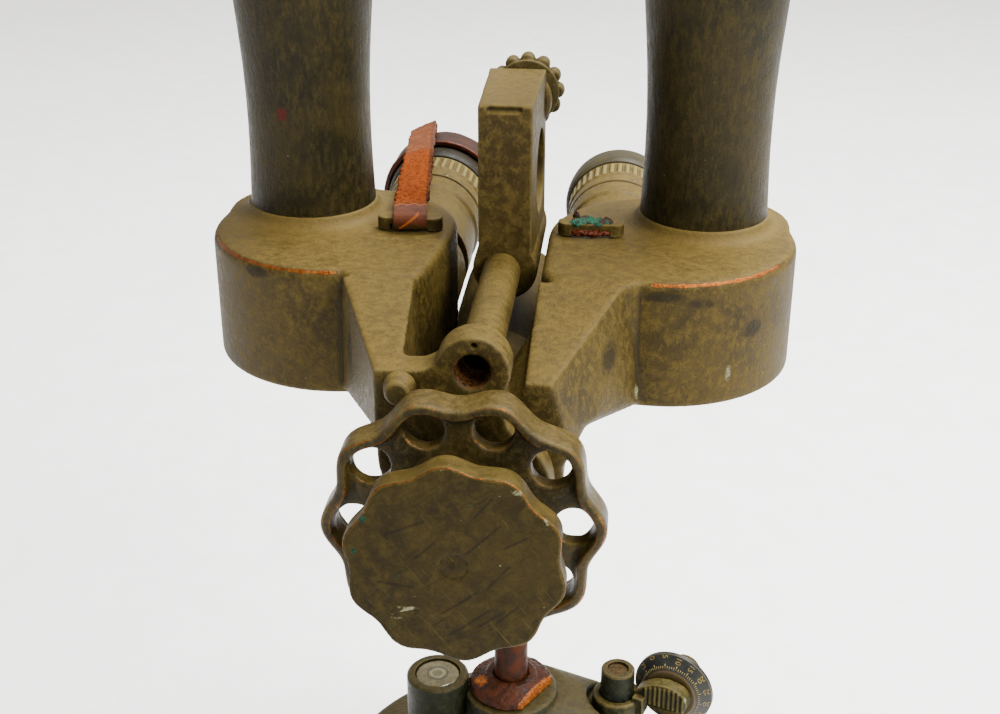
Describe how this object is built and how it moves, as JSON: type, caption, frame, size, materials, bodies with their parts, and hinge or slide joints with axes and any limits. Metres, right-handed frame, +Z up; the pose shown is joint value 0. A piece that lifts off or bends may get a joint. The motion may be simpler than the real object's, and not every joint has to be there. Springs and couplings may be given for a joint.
{
  "type": "periscopic binoculars",
  "caption": "Scissor-type periscopic binoculars with swinging sight tubes, hinged prism housings and eyepieces on a graduated azimuth mount.",
  "frame": {"origin": "centre of the base flange's flat bottom face, on the azimuth axis", "axes": "+Z up along the spindle, -Y the way the objective windows look, +Y the way the eyepieces point, +X to the right as seen from the front"},
  "size_m": [0.1702, 0.2396, 0.5306],
  "materials": {
    "olive_paint": "brushed olive-drab paint, rubbed through to copper-coloured metal on raised edges",
    "dark_olive_paint": "darker streaked olive-drab paint with chips",
    "mount_paint": "worn dark green paint over dark metal",
    "rusted_steel": "heavily rusted steel",
    "bare_steel": "oiled bare steel",
    "brass": "dull brass",
    "strap_leather": "cracked orange-brown strap leather",
    "cap_leather": "dark red-brown moulded leather",
    "eyecup_rubber": "dark grey hard rubber",
    "dial_black": "black dial with filled graduations",
    "optical_glass": "coated optical glass",
    "level_liquid": "yellowed bubble level glass"
  },
  "bodies": {
    "mount_base": {"base_flange": "mount_paint", "pedestal": "mount_paint", "azimuth_ring_gear": "brass"},
    "azimuth_head": {"mount_casting": "mount_paint", "level_housing": "mount_paint", "level_glass": "level_liquid", "pivot_screw": "mount_paint", "spindle": "rusted_steel", "hinge_body": "dark_olive_paint", "hinge_bolt": "bare_steel"},
    "collar": {"clamp_collar": "rusted_steel"},
    "lever": {"thumb_lever": "mount_paint"},
    "dial": {"azimuth_dial": "dial_black"},
    "arbor": {"pinion_arbor": "bare_steel"},
    "left_arm": {"left_prism_housing": "olive_paint", "left_bottom_cover": "dark_olive_paint", "left_lower_prism": "optical_glass", "left_turning_prism": "optical_glass", "left_tube": "dark_olive_paint", "left_objective_lens": "optical_glass", "left_head": "olive_paint", "left_head_cap": "olive_paint", "left_head_prism": "optical_glass", "left_window_ring": "brass", "left_window_glass": "optical_glass", "left_eyepiece_barrel": "olive_paint", "left_field_lens": "optical_glass", "left_eye_lens": "optical_glass", "left_lug_bar": "olive_paint", "stop_pin": "olive_paint", "bracket_rod": "olive_paint", "bracket": "olive_paint", "leather_strap": "strap_leather"},
    "right_arm": {"right_prism_housing": "olive_paint", "right_bottom_cover": "dark_olive_paint", "right_lower_prism": "optical_glass", "right_turning_prism": "optical_glass", "right_tube": "dark_olive_paint", "right_objective_lens": "optical_glass", "right_head": "olive_paint", "right_head_cap": "olive_paint", "right_head_prism": "optical_glass", "right_window_ring": "brass", "right_window_glass": "optical_glass", "right_eyepiece_barrel": "olive_paint", "right_field_lens": "optical_glass", "right_eye_lens": "optical_glass", "right_lug_bar": "olive_paint"},
    "wheel": {"clamp_wheel": "olive_paint"},
    "knob": {"front_knob": "olive_paint"},
    "left_focus": {"left_diopter_ring": "olive_paint", "left_eyecup": "eyecup_rubber"},
    "right_focus": {"right_diopter_ring": "olive_paint", "right_eyecup": "eyecup_rubber"},
    "bead_knob": {"bracket_knob": "olive_paint"},
    "cap": {"leather_cap": "cap_leather"}
  },
  "joints": [
    {"name": "azimuth_turn", "type": "hinge", "parent": "mount_base", "child": "azimuth_head", "pos_m": [0, 0, 0.03], "axis": [0, 0, 1], "continuous": true},
    {"name": "arbor_turn", "type": "hinge", "parent": "azimuth_head", "child": "arbor", "pos_m": [0.06392, 0.01828, 0.04], "axis": [0, 0, 1], "continuous": true},
    {"name": "dial_turn", "type": "hinge", "parent": "azimuth_head", "child": "dial", "pos_m": [0.06033, 0.00873, 0.0735], "axis": [0.3518, 0.9361, 0], "continuous": true},
    {"name": "collar_turn", "type": "hinge", "parent": "azimuth_head", "child": "collar", "pos_m": [0, 0, 0.08], "axis": [0, 0, 1], "range_deg": [0, 180]},
    {"name": "lever_swing", "type": "hinge", "parent": "azimuth_head", "child": "lever", "pos_m": [0.03946, 0.00664, 0.07], "axis": [0, 0, 1], "range_deg": [-30, 0]},
    {"name": "left_arm_swing", "type": "hinge", "parent": "azimuth_head", "child": "left_arm", "pos_m": [0, -0.118, 0.232], "axis": [0, -1, 0], "range_deg": [0, 50]},
    {"name": "right_arm_swing", "type": "hinge", "parent": "azimuth_head", "child": "right_arm", "pos_m": [0, -0.102, 0.232], "axis": [0, 1, 0], "range_deg": [0, 50]},
    {"name": "clamp_wheel_turn", "type": "hinge", "parent": "azimuth_head", "child": "wheel", "pos_m": [0, -0.13, 0.232], "axis": [0, 1, 0], "range_deg": [-180, 180]},
    {"name": "front_knob_turn", "type": "hinge", "parent": "azimuth_head", "child": "knob", "pos_m": [0, -0.151, 0.232], "axis": [0, 1, 0], "continuous": true},
    {"name": "left_focus_turn", "type": "hinge", "parent": "left_arm", "child": "left_focus", "pos_m": [-0.0325, 0.055, 0.2437], "axis": [0, 1, 0], "range_deg": [-90, 90]},
    {"name": "right_focus_turn", "type": "hinge", "parent": "right_arm", "child": "right_focus", "pos_m": [0.0325, 0.055, 0.2437], "axis": [0, 1, 0], "range_deg": [-90, 90]},
    {"name": "bead_knob_turn", "type": "hinge", "parent": "left_arm", "child": "bead_knob", "pos_m": [0.0049, -0.011, 0.3064], "axis": [0, 1, 0], "continuous": true},
    {"name": "cap_pull", "type": "slide", "parent": "left_arm", "child": "cap", "axis": [0, 1, 0], "range_m": [0, 0.013]}
  ],
  "couplings": [
    {"joint": "arbor_turn", "follows": "azimuth_turn", "ratio": 8},
    {"joint": "dial_turn", "follows": "azimuth_turn", "ratio": 8}
  ]
}
